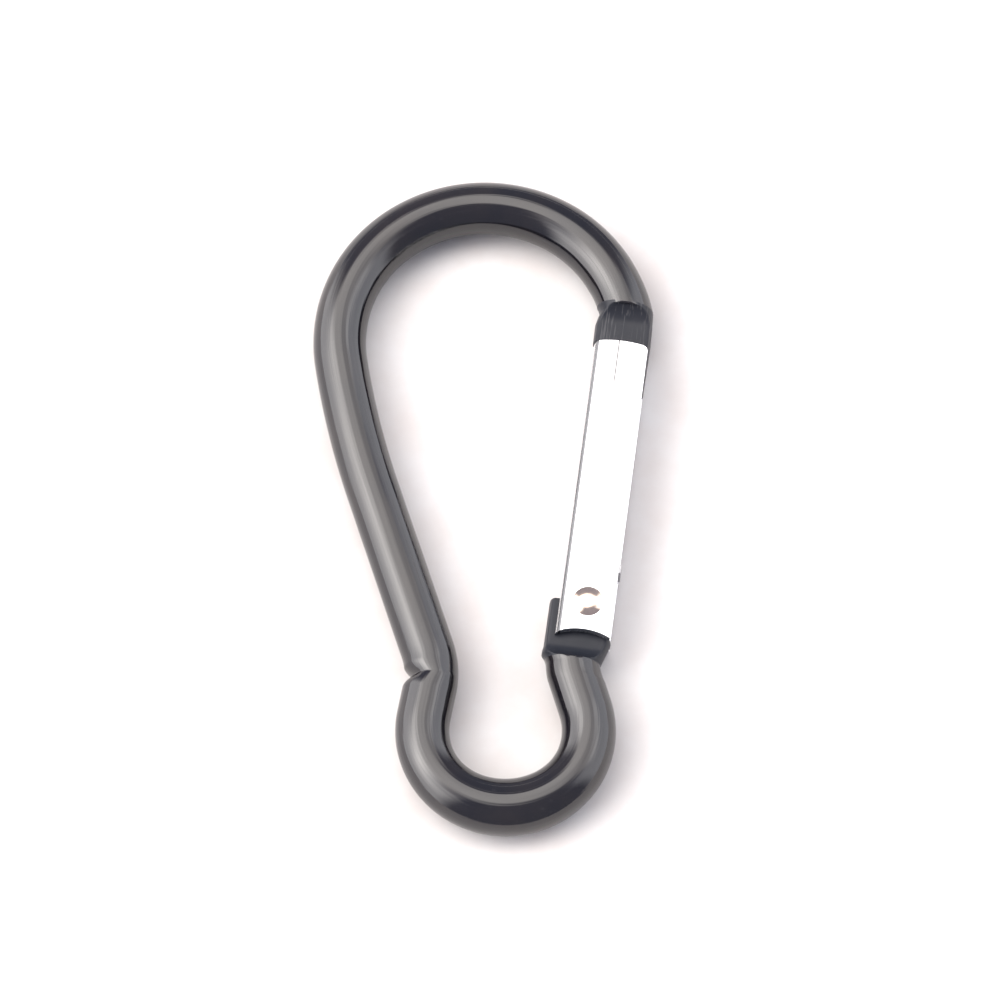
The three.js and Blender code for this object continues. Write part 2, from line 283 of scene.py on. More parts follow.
def arc(cx, cy, radius, start, end, steps):
    """Points of an arc; its angles are in degrees."""
    angles = [math.radians(start + (end - start) * i / steps) for i in range(steps + 1)]
    return [(cx + radius * math.cos(a), cy + radius * math.sin(a)) for a in angles]


def combine(obj, tool, operation):
    """Joins, cuts or trims obj with a tool solid, which is then removed."""
    modifier = obj.modifiers.new("combine", "BOOLEAN")
    modifier.object = tool
    modifier.operation = operation
    modifier.solver = "EXACT"
    bake_modifiers(obj)
    bpy.data.objects.remove(tool)


def bake_modifiers(obj):
    """Replaces the mesh by what its modifiers make of it."""
    graph = bpy.context.evaluated_depsgraph_get()
    graph.update()
    mesh = bpy.data.meshes.new_from_object(obj.evaluated_get(graph))
    obj.modifiers.clear()
    old = obj.data
    obj.data = mesh
    bpy.data.meshes.remove(old)
    mesh.name = obj.name


def merge_slivers(obj):
    """Merges coincident corners and flat neighbouring faces that the cuts have left."""
    work = bmesh.new()
    work.from_mesh(obj.data)
    bmesh.ops.remove_doubles(work, verts=work.verts, dist=SLIVER * MM)
    bmesh.ops.dissolve_limit(
        work,
        angle_limit=math.radians(FLAT_ANGLE),
        use_dissolve_boundaries=False,
        verts=work.verts,
        edges=work.edges,
    )
    work.to_mesh(obj.data)
    work.free()


def soften_edges(obj):
    """Rounds the sharp edges of a piece."""
    merge_slivers(obj)
    bevel = obj.modifiers.new("edges", "BEVEL")
    bevel.width = EDGE_ROUNDING * MM
    bevel.segments = BEVEL_SEGMENTS
    bevel.limit_method = "ANGLE"
    bevel.angle_limit = math.radians(BEVEL_ANGLE)
    bevel.use_clamp_overlap = False
    bevel.harden_normals = True
    bake_modifiers(obj)


# ---- frame: one skin from the hinge tongue round the loop to the nose tongue ----
# Section of the rod, and hollow fillet and rounded rim of a pressed step.
SIDE_SEGMENTS = 24
FACE_SEGMENTS = 20
SIDE_ANGLE = math.radians(62)
EDGE_SOFTNESS = 0.16
FILLET_STEPS = 18
HINGE_WALL_TOP = 2.2
NOSE_WALL_TOP = 2.12
RIM_RUN = 0.16
RIM_STEPS = 6

# Search for a level of the gate line near one end of the rod.
HALVINGS = 50
SEARCH_IN = 20.0
SEARCH_OUT = 12.0


def soft_min(a, b, softness):
    """The smaller of two values, rounded over where they meet."""
    gap = max(softness - abs(a - b), 0.0) / softness
    return min(a, b) - gap * gap * softness / 4


def section_angles(height):
    """Angles round the section, crowded towards the corners that a flat of this height leaves."""
    corner = min(math.asin(min(height / ROD_R, 1.0)), SIDE_ANGLE)
    side = [
        corner * math.sin(math.pi / 2 * (2 * i / SIDE_SEGMENTS - 1))
        for i in range(SIDE_SEGMENTS + 1)
    ]
    reach = math.cos(corner)
    face = [
        math.acos(reach * math.cos(math.pi * i / FACE_SEGMENTS))
        for i in range(1, FACE_SEGMENTS)
    ]
    upper_half = side + face
    return upper_half + [math.pi + a for a in upper_half]


def ring(origin, across, inner, outer, height):
    """Rod section from inner to outer along across, flattened at height above and below."""
    middle, half = (inner + outer) / 2, (outer - inner) / 2
    points = []
    for a in section_angles(height):
        z = ROD_R * math.sin(a)
        if height < ROD_R:
            z = math.copysign(soft_min(abs(z), height, EDGE_SOFTNESS), z)
        place = origin + (middle + half * math.cos(a)) * across
        points.append((place.x, place.y, pivot.z + z))
    return points


def interpolate(table, y):
    """Value at y of a line drawn through (y, value) points in rising order."""
    if y <= table[0][0]:
        return table[0][1]
    for (y0, v0), (y1, v1) in zip(table, table[1:]):
        if y <= y1:
            return v0 + (v1 - v0) * (y - y0) / (y1 - y0)
    return table[-1][1]


def rod_at_gate_y(y, at_nose):
    """Length along the rod where its middle line crosses a level of the gate line."""
    if at_nose:
        low, high = rod.length - SEARCH_IN, rod.length + SEARCH_OUT
    else:
        low, high = -SEARCH_OUT, SEARCH_OUT
    for _ in range(HALVINGS):
        middle = (low + high) / 2
        place = rod.at(middle)[0] - plan_pivot
        if place.dot(along) > y:
            low = middle
        else:
            high = middle
    return low


def rod_on_gate_line(y, at_nose):
    """Sideways place of the rod's middle at a level of the gate line, and its half width there."""
    place, heading = rod.at(rod_at_gate_y(y, at_nose))
    lean = math.cos(heading) * along.x + math.sin(heading) * along.y
    return (place - plan_pivot).dot(outward), ROD_R / abs(lean)


def fillet_stations(floor_end, radius, direction, top):
    """(level, height) from a tongue's floor up the hollow fillet and over the rounded rim."""
    stations = []
    for i in range(FILLET_STEPS + 1):
        t = math.pi / 2 * i / FILLET_STEPS
        height = TONGUE_HALF + radius * (1 - math.cos(t))
        if height > top:
            break
        stations.append((floor_end + direction * radius * math.sin(t), height))
    level, height = stations[-1]
    rim = ROD_R - height
    for i in range(1, RIM_STEPS + 1):
        t = i / RIM_STEPS
        rise = rim * math.sin(math.pi / 2 * t)
        stations.append((level + direction * RIM_RUN * t * t, height + rise))
    return stations


def steps_between(low, high, step):
    """Even steps from low to high, of about the given size."""
    count = max(1, round(abs(high - low) / step))
    return [low + (high - low) * i / count for i in range(count + 1)]


# Levels where the rings of the two ends meet those of the rod, and where the nose's sides start.
HINGE_HANDOVER = -6.1
NOSE_HANDOVER = 29.35
SHOULDER_TOP = 25.4
NOSE_SIDE_START = 26.0

# Levels on the gate line where the rings of the two ends lie.
ABOVE_CORNER = 0.6
CORNER_LEVELS = [0.42, 0.34, 0.33, 0.305, 0.28, 0.2, 0.1, 0.0]
BELOW_CORNER = -0.15
ABOVE_SHOULDER = 25.6
SHOULDER_HIGH = 25.5
SHOULDER_LOW = 25.08
BELOW_SHOULDER = 24.8
ABOVE_TIP = NOSE_TIP + 0.7
TIP_LEVELS = [NOSE_TIP + rise for rise in (0.6, 0.5, 0.35, 0.2, 0.12, 0.05, 0.0)]
FILLET_GAP = 0.1
HINGE_RIM_GAP = 0.08
NOSE_RIM_GAP = 0.05
FLAT_STEP = 0.2
HINGE_FLOOR_STEP = 0.25
HINGE_ROD_STEP = 0.09
NOSE_ROD_STEP = 0.07
SHOULDER_STEP = 0.035
NOSE_FLOOR_STEP = 0.4

# Edges of the tongues on the gate line, as (y, x) from the lowest y to the highest.
HINGE_INNER = [
    (-5.7, -3.0),
    (-5.1, -3.25),
    (-4.8, -3.5),
    (-4.45, -3.5),
    (-4.0, -3.42),
    (0.0, -3.4),
    (0.28, -3.38),
    (0.33, -3.3),
    (0.34, -2.72),
    (0.6, -2.6),
    (HINGE_TOP, -1.5),
]
HINGE_OUTER = [
    (-5.9, 1.2),
    (-5.2, 1.75),
    (-3.2, 2.4),
    (-2.9, 2.38),
    (-2.6, 2.24),
    (1.9, 2.24),
    (2.1, 2.14),
    (HINGE_TOP, 1.94),
]
NOSE_INNER = [
    (NOSE_TIP, -1.15),
    (NOSE_TIP + 0.12, -1.42),
    (NOSE_TIP + 0.5, NOSE_INNER_EDGE),
    (25.15, NOSE_INNER_EDGE),
    (25.22, -2.4),
    (SHOULDER_TOP, -2.7),
    (27.2, -2.72),
    (28.6, -2.4),
]
NOSE_OUTER = [
    (NOSE_TIP, 1.76),
    (NOSE_TIP + 0.2, 2.16),
    (NOSE_TIP + 0.6, 2.36),
    (NOSE_SIDE_START, TONGUE_EDGE),
    (27.6, 2.4),
    (28.6, 2.3),
]


def hinge_rings():
    """Rings on levels of the gate line, from the end of the hinge tongue down to round rod."""
    floor = steps_between(HINGE_TOP, ABOVE_CORNER, FLAT_STEP) + CORNER_LEVELS
    floor += steps_between(BELOW_CORNER, HINGE_FLOOR_END + FILLET_GAP, HINGE_FLOOR_STEP)
    fillet = fillet_stations(HINGE_FLOOR_END, HINGE_FILLET_R, -1, HINGE_WALL_TOP)
    round_rod = steps_between(fillet[-1][0] - HINGE_RIM_GAP, HINGE_HANDOVER, HINGE_ROD_STEP)
    levels = [(y, TONGUE_HALF) for y in floor] + fillet + [(y, ROD_R) for y in round_rod]
    rings = []
    for y, height in levels:
        middle, half = rod_on_gate_line(y, False)
        inner, outer = middle - half, middle + half
        if y > HINGE_INNER[0][0]:
            edge = interpolate(HINGE_INNER, y)
            inner = min(inner, edge) if y < 0 else edge
        if y > HINGE_OUTER[0][0]:
            edge = interpolate(HINGE_OUTER, y)
            outer = max(outer, edge) if y < 0 else edge
        rings.append(ring(gate_xy(0, y), outward, inner, outer, height))
    return rings


def nose_rings():
    """Rings on levels of the gate line, from round rod down to the tip of the nose tongue."""
    fillet = fillet_stations(NOSE_FLOOR_START, NOSE_FILLET_R, 1, NOSE_WALL_TOP)
    round_rod = steps_between(NOSE_HANDOVER, fillet[-1][0] + NOSE_RIM_GAP, NOSE_ROD_STEP)
    floor = steps_between(NOSE_FLOOR_START - FILLET_GAP, ABOVE_SHOULDER, FLAT_STEP)
    floor += steps_between(SHOULDER_HIGH, SHOULDER_LOW, SHOULDER_STEP)
    floor += steps_between(BELOW_SHOULDER, ABOVE_TIP, NOSE_FLOOR_STEP) + TIP_LEVELS
    levels = [(y, ROD_R) for y in round_rod] + fillet[::-1] + [(y, TONGUE_HALF) for y in floor]
    rings = []
    for y, height in levels:
        middle, half = rod_on_gate_line(y, True)
        inner, outer = middle - half, middle + half
        if y < NOSE_INNER[-1][0]:
            edge = interpolate(NOSE_INNER, y)
            inner = min(inner, edge) if y > SHOULDER_TOP else edge
        if y < NOSE_OUTER[-1][0]:
            edge = interpolate(NOSE_OUTER, y)
            outer = max(outer, edge) if y > NOSE_SIDE_START else edge
        rings.append(ring(gate_xy(0, y), outward, inner, outer, height))
    return rings


# Crease in the left neck, and swelling at the bottom of the small eye.
CREASE_DEPTH = 0.8
CREASE_SHARPNESS = 1.6
CREASE_HALF_LENGTH = 1.3
CREASE_FROM_EYE = 0.85
SQUEEZE = 0.3
SQUEEZE_HALF_LENGTH = 9.0

# Spacing of the rings along the rod. The coarse ones and the nose knee's end short of the last.
BLEND_LENGTH = 4.0
BEND_STEP = 0.12
FINE_STEPS = 59
CREASE_STEP = 0.08
PINCH_LENGTH = 1.9
COARSE_END = 3.0
KNEE_START = 2.85
KNEE_END = 0.1

eye_start, eye_end, neck_start = (rod.legs[i][0] for i in (2, 3, 4))
crease_at = neck_start + CREASE_FROM_EYE
eye_middle = (eye_start + eye_end) / 2


def pinch(s):
    """How far the hollow side of the left neck is pushed in by its crease."""
    away = abs(s - crease_at) / CREASE_HALF_LENGTH
    return CREASE_DEPTH * (1 - away) ** CREASE_SHARPNESS if away < 1 else 0.0


def squeeze(s):
    """How far the rod has swollen inwards at the bottom of the small eye."""
    away = abs(s - eye_middle) / SQUEEZE_HALF_LENGTH
    return SQUEEZE * math.cos(math.pi / 2 * away) ** 2 if away < 1 else 0.0


def ring_lengths(first, last):
    """Where the rings lie along the rod: close together at both ends and in the crease."""
    fine = [first + BEND_STEP * i for i in range(1, FINE_STEPS + 1)]
    coarse = steps_between(fine[-1] + ROD_STEP, last - COARSE_END, ROD_STEP)
    knee = steps_between(last - KNEE_START, last - KNEE_END, BEND_STEP)
    lengths = [s for s in fine + coarse + knee if abs(s - crease_at) > PINCH_LENGTH]
    lengths += steps_between(crease_at - PINCH_LENGTH, crease_at + PINCH_LENGTH, CREASE_STEP)
    return sorted(lengths)


def turned(direction, angle):
    """A plan direction turned by an angle in radians."""
    cosine, sine = math.cos(angle), math.sin(angle)
    x, y = direction
    return Vector((x * cosine - y * sine, x * sine + y * cosine))


def rod_rings():
    """Rings square to the rod, turned gradually into the levels of the gate line at both ends."""
    first = rod_at_gate_y(HINGE_HANDOVER, False)
    last = rod_at_gate_y(NOSE_HANDOVER, True)
    rings = []
    for s in ring_lengths(first, last):
        place, heading = rod.at(s)
        square = Vector((-math.sin(heading), math.cos(heading)))
        tilt = math.atan2(square.x * outward.y - square.y * outward.x, square.dot(outward))
        away = min(1.0, (s - first) / BLEND_LENGTH, (last - s) / BLEND_LENGTH)
        turn = tilt * (1 - away * away * (3 - 2 * away))
        reach = ROD_R / math.cos(turn)
        inner, outer = -reach - squeeze(s), reach - pinch(s)
        rings.append(ring(place + to_row, turned(square, turn), inner, outer, ROD_R))
    return rings


FLOW_STRIDE = 12


def add_flow_map(obj, ring_count, ring_size):
    """UV map in millimetres: u runs along the rod, v round its section."""
    mesh = obj.data
    layer = mesh.uv_layers.new(name="flow")
    sampled = range(0, ring_size, FLOW_STRIDE)

    def middle(i):
        corners = (mesh.vertices[i * ring_size + j].co for j in sampled)
        return sum(corners, Vector()) / len(sampled)

    length = [0.0]
    for i in range(1, ring_count):
        length.append(length[-1] + (middle(i) - middle(i - 1)).length / MM)
    perimeter = 2 * math.pi * ROD_R
    for polygon in mesh.polygons:
        columns = [v % ring_size for v in polygon.vertices]
        wraps = len(columns) == 4 and max(columns) - min(columns) > ring_size / 2
        for loop, v in zip(polygon.loop_indices, polygon.vertices):
            column = v % ring_size
            if wraps and column < ring_size / 2:
                column += ring_size
            layer.data[loop].uv = (length[v // ring_size], perimeter * column / ring_size)


PRESSED_HEIGHT = 2.2
PRESSED_REACH = 4.0


def paint_pressed(obj, material):
    """Gives the faces that the press has flattened their own material."""
    obj.data.materials.append(material)
    pressed_slot = len(obj.data.materials) - 1
    for polygon in obj.data.polygons:
        local = polygon.center.xy / MM - pivot.xy
        level, side = local.dot(along), local.dot(outward)
        height = abs(polygon.center.z / MM - pivot.z)
        on_ends = HINGE_FLOOR_END - HINGE_FILLET_R < level < NOSE_FLOOR_START + NOSE_FILLET_R
        if on_ends and abs(side) < PRESSED_REACH and height < PRESSED_HEIGHT:
            polygon.material_index = pressed_slot


def build_frame():
    """The bent rod with its two tongues, and the rivet's hole through the hinge tongue."""
    rings = hinge_rings() + rod_rings() + nose_rings()
    obj = loft("frame_rod", rings)
    add_flow_map(obj, len(rings), len(rings[0]))
    hole = plate("hole", circle(RIVET_R + RIVET_RUN_GAP), -2 * ROD_R, 2 * ROD_R)
    combine(obj, hole, "DIFFERENCE")
    return obj


# ---- gate ----
FOLD_STEPS = 8
CROWN_STEPS = 16
HOLLOW_STEPS = 24
HOLE_SIDES = 32
WEB_CLEARANCE = 0.02
LUG_ROOT = 0.5


def channel_section():
    """Folded sheet open towards +X."""
    fold_x = GATE_SPINE + GATE_WALL
    inside = GATE_HALF - GATE_WALL
    section = [(GATE_EDGE, -GATE_HALF), (GATE_EDGE, -inside), (fold_x, -inside)]
    section += [(fold_x, inside), (GATE_EDGE, inside), (GATE_EDGE, GATE_HALF)]
    section += arc(fold_x, inside, GATE_WALL, 90, 180, FOLD_STEPS)
    section += arc(fold_x, -inside, GATE_WALL, 180, 270, FOLD_STEPS)
    return section


def gate_outline():
    """The gate's broad face: a crowned top with round corners, and a hollow lower edge."""
    half = (GATE_EDGE - GATE_SPINE) / 2
    middle = (GATE_EDGE + GATE_SPINE) / 2
    hollow_r = (half ** 2 + GATE_BOTTOM_HOLLOW ** 2) / (2 * GATE_BOTTOM_HOLLOW)
    hollow_y = GATE_BOTTOM + GATE_BOTTOM_HOLLOW - hollow_r
    hollow = math.degrees(math.asin(half / hollow_r))
    corner_y = GATE_TOP - CORNER_R
    right = arc(GATE_EDGE - CORNER_R, corner_y, CORNER_R, 0, CORNER_ROUND, FOLD_STEPS)
    left = arc(GATE_SPINE + CORNER_R, corner_y, CORNER_R, 180 - CORNER_ROUND, 180, FOLD_STEPS)
    peak = Vector((middle, GATE_TOP + GATE_CROWN))
    start, end = Vector(right[-1]), Vector(left[0])
    crown = []
    for i in range(1, CROWN_STEPS):
        t = i / CROWN_STEPS
        crown.append(tuple((1 - t) ** 2 * start + 2 * t * (1 - t) * peak + t * t * end))
    bottom = arc(middle, hollow_y, hollow_r, 90 + hollow, 90 - hollow, HOLLOW_STEPS)
    return right + crown + left + bottom


def build_gate():
    """Folded channel with its slot, its window, the spring stop pushed out of it, and two holes."""
    inside = GATE_HALF - GATE_WALL
    low, high = GATE_BOTTOM - OVERCUT, GATE_TOP + OVERCUT
    back, web_in = GATE_SPINE - OVERCUT, GATE_SPINE + GATE_WALL + WEB_CLEARANCE
    stop_top = STOP_Y + STOP_THICKNESS
    through = 2 * GATE_HALF
    obj = bar("gate_channel", channel_section(), low, high)
    combine(obj, plate("trim", gate_outline(), -through, through), "INTERSECT")
    combine(obj, block("slot", back, web_in, low, SLOT_TOP, inside), "DIFFERENCE")
    window = block("window", back, web_in, stop_top, stop_top + WINDOW_LENGTH, LUG_HALF)
    combine(obj, window, "DIFFERENCE")
    lug = block("lug", GATE_SPINE + LUG_ROOT, LUG_REACH, STOP_Y, stop_top, LUG_HALF)
    combine(obj, lug, "UNION")
    hole = plate("hole", circle(RIVET_R + RIVET_PRESS_GAP, HOLE_SIDES), -through, through)
    combine(obj, hole, "DIFFERENCE")
    soften_edges(obj)
    return obj


# ---- turned and coiled pieces ----
LATHE_SIDES = 72

# Domed heads of the rivet.
DOME_STEPS = 18
DOME_FLATNESS = 2.6
DOME_FULLNESS = 0.8
HEAD_RIM = 0.07
HEAD_CHAMFER = 0.03
HEAD_GAP = 0.02

# Wire of the spring, with its turns closed at both ends.
COIL_STEPS = 40
WIRE_SIDES = 12
END_TURNS = 0.75
END_PITCH = 1.04 * 2 * SPRING_WIRE_R
WIRE_SMOOTH_ANGLE = 60

# Ends of the plunger.
FOOT_CHAMFER = 0.1
STEM_CHAMFER = 0.15


def lathe(name, profile, place, sides=LATHE_SIDES):
    """Closed solid of revolution; profile runs from axis to axis as (radius, depth)."""
    points = []
    for radius, depth in profile[1:-1]:
        points += [place(x, y, depth) for x, y in circle(radius, sides)]
    faces = []
    top = len(points) - sides
    for start in range(0, top, sides):
        for j in range(sides):
            k = (j + 1) % sides
            faces.append((start + j, start + k, start + sides + k, start + sides + j))
    first, last = len(points), len(points) + 1
    points += [place(0, 0, profile[0][1]), place(0, 0, profile[-1][1])]
    for j in range(sides):
        k = (j + 1) % sides
        faces.append((first, k, j))
        faces.append((last, top + j, top + k))
    return make_object(name, points, faces)


def build_rivet():
    """Shank with a slightly flattened dome at each end."""
    seat = GATE_HALF + HEAD_GAP
    dome = seat + HEAD_RIM
    height = RIVET_HEAD_HEIGHT - HEAD_RIM
    upper = [
        (RIVET_R, seat),
        (RIVET_HEAD_R - HEAD_CHAMFER, seat),
        (RIVET_HEAD_R, seat + HEAD_RIM / 2),
    ]
    for i in range(DOME_STEPS + 1):
        share = 1 - i / DOME_STEPS
        rise = (1 - share ** DOME_FLATNESS) ** DOME_FULLNESS
        upper.append((RIVET_HEAD_R * share, dome + height * rise))
    lower = [(radius, -depth) for radius, depth in reversed(upper)]
    return lathe("hinge_rivet_pin", lower + upper, from_gate_line)


def build_spring():
    """Coil wire with closed ends, swept as a tube."""
    closed = END_TURNS * END_PITCH
    open_pitch = (SPRING_HIGH - SPRING_LOW - 2 * closed) / (SPRING_TURNS - 2 * END_TURNS)

    def rise(turn):
        if turn < END_TURNS:
            return SPRING_LOW + turn * END_PITCH
        if turn > SPRING_TURNS - END_TURNS:
            return SPRING_HIGH - (SPRING_TURNS - turn) * END_PITCH
        return SPRING_LOW + closed + open_pitch * (turn - END_TURNS)

    rings = []
    lengthwise = Vector((0, 1, 0))
    for i in range(SPRING_TURNS * COIL_STEPS + 1):
        turn = i / COIL_STEPS
        angle = 2 * math.pi * turn
        radial = Vector((math.cos(angle), 0.0, math.sin(angle)))
        centre = Vector((SPRING_X, rise(turn), 0.0)) + SPRING_COIL_R * radial
        section = circle(SPRING_WIRE_R, WIRE_SIDES)
        rings.append([from_gate_line(*(centre + u * radial + v * lengthwise)) for u, v in section])
    return loft("gate_spring_coil", rings, WIRE_SMOOTH_ANGLE)


def build_plunger():
    """Square collar with a round foot below it and a stem into the spring."""

    def place(u, v, depth):
        return from_gate_line(SPRING_X + u, depth, v)

    root = COLLAR_Y + FOOT_CHAMFER
    foot = [
        (0, FOOT_Y),
        (FOOT_R - FOOT_CHAMFER, FOOT_Y),
        (FOOT_R, FOOT_Y + FOOT_CHAMFER),
        (FOOT_R, root),
        (0, root),
    ]
    stem = [
        (0, root),
        (STEM_R, root),
        (STEM_R, STEM_TOP - STEM_CHAMFER),
        (STEM_R - STEM_CHAMFER, STEM_TOP),
        (0, STEM_TOP),
    ]
    obj = block(
        "spring_plunger_body",
        COLLAR_INNER_EDGE,
        TONGUE_EDGE,
        COLLAR_Y,
        COLLAR_Y + COLLAR_THICKNESS,
        COLLAR_HALF,
    )
    combine(obj, lathe("foot", foot, place), "UNION")
    combine(obj, lathe("stem", stem, place), "UNION")
    soften_edges(obj)
    return obj


# ---- materials ----
class Wiring:
    """Shorthands for making and wiring the nodes of one shader tree."""

    def __init__(self, tree):
        self.tree = tree
        self.tree.nodes.clear()

    def node(self, kind, **settings):
        """A new node with some of its properties set."""
        made = self.tree.nodes.new(kind)
        for key, value in settings.items():
            setattr(made, key, value)
        return made

    def feed(self, value, socket):
        """Wires another node's output to a socket, or sets the socket to a plain value."""
        if isinstance(value, bpy.types.NodeSocket):
            self.tree.links.new(value, socket)
        else:
            socket.default_value = value

    def maths(self, operation, first, second=0.0):
        """One sum on numbers or outputs."""
        made = self.node("ShaderNodeMath", operation=operation)
        self.feed(first, made.inputs[0])
        self.feed(second, made.inputs[1])
        return made.outputs["Value"]


class Finish(Wiring):
    """A material with a Principled shader."""

    def __init__(self, name):
        self.material = bpy.data.materials.new(name)
        self.material.use_nodes = True
        super().__init__(self.material.node_tree)
        self.shader = self.node("ShaderNodeBsdfPrincipled")
        output = self.node("ShaderNodeOutputMaterial")
        self.feed(self.shader.outputs["BSDF"], output.inputs["Surface"])

    def constants(self, **values):
        """Sets the shader's own sockets."""
        for key, value in values.items():
            self.shader.inputs[key.replace("_", " ")].default_value = value

    def surface(self, colour, roughness):
        """Wires the colour and the roughness of the surface."""
        self.feed(colour, self.shader.inputs["Base Color"])
        self.feed(roughness, self.shader.inputs["Roughness"])

    def stretched(self, vector, scale):
        """A place stretched by scale."""
        mapping = self.node("ShaderNodeMapping")
        mapping.inputs["Scale"].default_value = scale
        self.feed(vector, mapping.inputs["Vector"])
        return mapping.outputs["Vector"]

    def position(self, scale):
        """Place in the row frame, in millimetres, stretched by scale."""
        coordinates = self.node("ShaderNodeTexCoord")
        return self.stretched(coordinates.outputs["Object"], [s / MM for s in scale])

    def flow(self, scale):
        """Place along and round the rod, in millimetres, stretched by scale."""
        coordinates = self.node("ShaderNodeUVMap", uv_map="flow")
        return self.stretched(coordinates.outputs["UV"], scale)

    def gate_line(self, scale):
        """Place turned to the gate line, in millimetres, stretched by scale."""
        coordinates = self.node("ShaderNodeTexCoord")
        turn = self.node("ShaderNodeMapping", vector_type="POINT")
        turn.inputs["Rotation"].default_value = (0, 0, math.radians(GATE_LEAN))
        self.feed(coordinates.outputs["Object"], turn.inputs["Vector"])
        return self.stretched(turn.outputs["Vector"], [s / MM for s in scale])

    def on_gate_axis(self, direction):
        """Distance from the rivet's axis along a plan direction, in millimetres."""
        coordinates = self.node("ShaderNodeTexCoord")
        made = self.node("ShaderNodeVectorMath", operation="DOT_PRODUCT")
        made.inputs[1].default_value = (direction.x / MM, direction.y / MM, 0)
        self.feed(coordinates.outputs["Object"], made.inputs[0])
        return self.maths("SUBTRACT", made.outputs["Value"], pivot.xy.dot(direction))

    def noise(self, vector, detail=3.0, roughness=0.55, distortion=0.0):
        """Soft random tone between 0 and 1."""
        made = self.node("ShaderNodeTexNoise")
        made.inputs["Scale"].default_value = 1.0
        made.inputs["Detail"].default_value = detail
        made.inputs["Roughness"].default_value = roughness
        made.inputs["Distortion"].default_value = distortion
        self.feed(vector, made.inputs["Vector"])
        return made.outputs["Fac"]

    def remap(self, value, low, high, to_low=0.0, to_high=1.0):
        """Carries low to to_low and high to to_high, and holds the ends."""
        made = self.node("ShaderNodeMapRange", clamp=True)
        made.inputs["From Min"].default_value = low
        made.inputs["From Max"].default_value = high
        made.inputs["To Min"].default_value = to_low
        made.inputs["To Max"].default_value = to_high
        self.feed(value, made.inputs["Value"])
        return made.outputs["Result"]

    def mix(self, share, first, second):
        """A colour between two others, each a plain colour or another node's output."""
        made = self.node("ShaderNodeMix", data_type="RGBA")
        self.feed(share, made.inputs[0])
        for socket, value in ((made.inputs[6], first), (made.inputs[7], second)):
            self.feed((*value, 1) if isinstance(value, tuple) else value, socket)
        return made.outputs[2]

    def line(self, value, centre, half, soft):
        """1 on a line of the given half width, fading to 0 over a soft edge."""
        away = self.maths("ABSOLUTE", self.maths("SUBTRACT", value, centre))
        return self.remap(away, half, half + soft, 1, 0)

    def bump(self, height, depth_mm):
        """Relief of the given depth in millimetres, on top of any relief already wired."""
        made = self.node("ShaderNodeBump")
        made.inputs["Distance"].default_value = depth_mm * MM
        self.feed(height, made.inputs["Height"])
        earlier = self.shader.inputs["Normal"].links
        if earlier:
            self.feed(earlier[0].from_socket, made.inputs["Normal"])
        self.feed(made.outputs["Normal"], self.shader.inputs["Normal"])


COAT_IOR = 1.65
SPECK_COLOUR = (0.03, 0.029, 0.031)
SCRATCH_COLOUR = (0.09, 0.09, 0.095)
SCRATCHED_FROM = 17
SCRATCHED_FULLY = 18
RIPPLE_DEPTH = 0.045
DRAWING_LINE_DEPTH = 0.007
FINE_LINE_DEPTH = 0.0012


def rod_finish(name, pale, deep, roughness, ripple, specular, scratched):
    """Black anodised rod: a dark skin over drawing lines, with worn specks and nose scratches."""
    finish = Finish(name)
    finish.constants(Metallic=0.0, IOR=COAT_IOR, Specular_IOR_Level=specular)
    patches = finish.noise(finish.position((0.22, 0.22, 0.22)), detail=4)
    drawing_lines = finish.noise(finish.flow((0.05, 3.2, 1)), detail=4, roughness=0.6)
    fine_lines = finish.noise(finish.flow((0.25, 14, 1)), detail=2)
    ripples = finish.noise(finish.flow((0.02, 0.85, 1)), detail=3, roughness=0.7)
    specks = finish.noise(finish.position((2.6, 2.6, 2.6)), detail=2)
    scratches = finish.noise(finish.gate_line((6, 0.22, 1.5)), detail=2)
    dye = finish.mix(finish.remap(patches, 0.35, 0.7), deep, pale)
    skin = finish.mix(finish.remap(specks, 0.66, 0.74, 0, 0.5), dye, SPECK_COLOUR)
    up = finish.on_gate_axis(along)
    on_nose = finish.remap(up, SCRATCHED_FROM, SCRATCHED_FULLY, 0, scratched)
    worn = finish.maths("MULTIPLY", finish.remap(scratches, 0.57, 0.66), on_nose)
    colour = finish.mix(worn, skin, SCRATCH_COLOUR)
    finish.surface(colour, finish.remap(drawing_lines, 0.3, 0.75, *roughness))
    finish.bump(ripples, RIPPLE_DEPTH * ripple)
    finish.bump(drawing_lines, DRAWING_LINE_DEPTH)
    finish.bump(fine_lines, FINE_LINE_DEPTH)
    return finish.material


SHEET_BRIGHT = (0.93, 0.935, 0.94)
SHEET_DULL = (0.86, 0.865, 0.87)
SHEET_MARKED = (0.7, 0.69, 0.67)
# Dark colour painted as shade: the lines on the rounded fold and at the pressed step's edge stand in
# for shade.
SHEET_PAINTED_SHADE = (0.15, 0.15, 0.155)
SHEET_ROUGHNESS = (0.16, 0.3)
SHEET_LINE_DEPTH = 0.0015
# Painted shade lines across the gate line (centre, half width, soft edge): on the rounded fold, and
# at the pressed step's edge near the top.
FOLD_PAINTED_SHADE = {"centre": -2.2, "half": 0.1, "soft": 0.07}
PRESS_STEP_SHADE = {"centre": -0.3, "half": 0.04, "soft": 0.06}
PRESS_STEP_SHADE_START = 19.4
PRESS_STEP_SHADE_FULL = 21.5


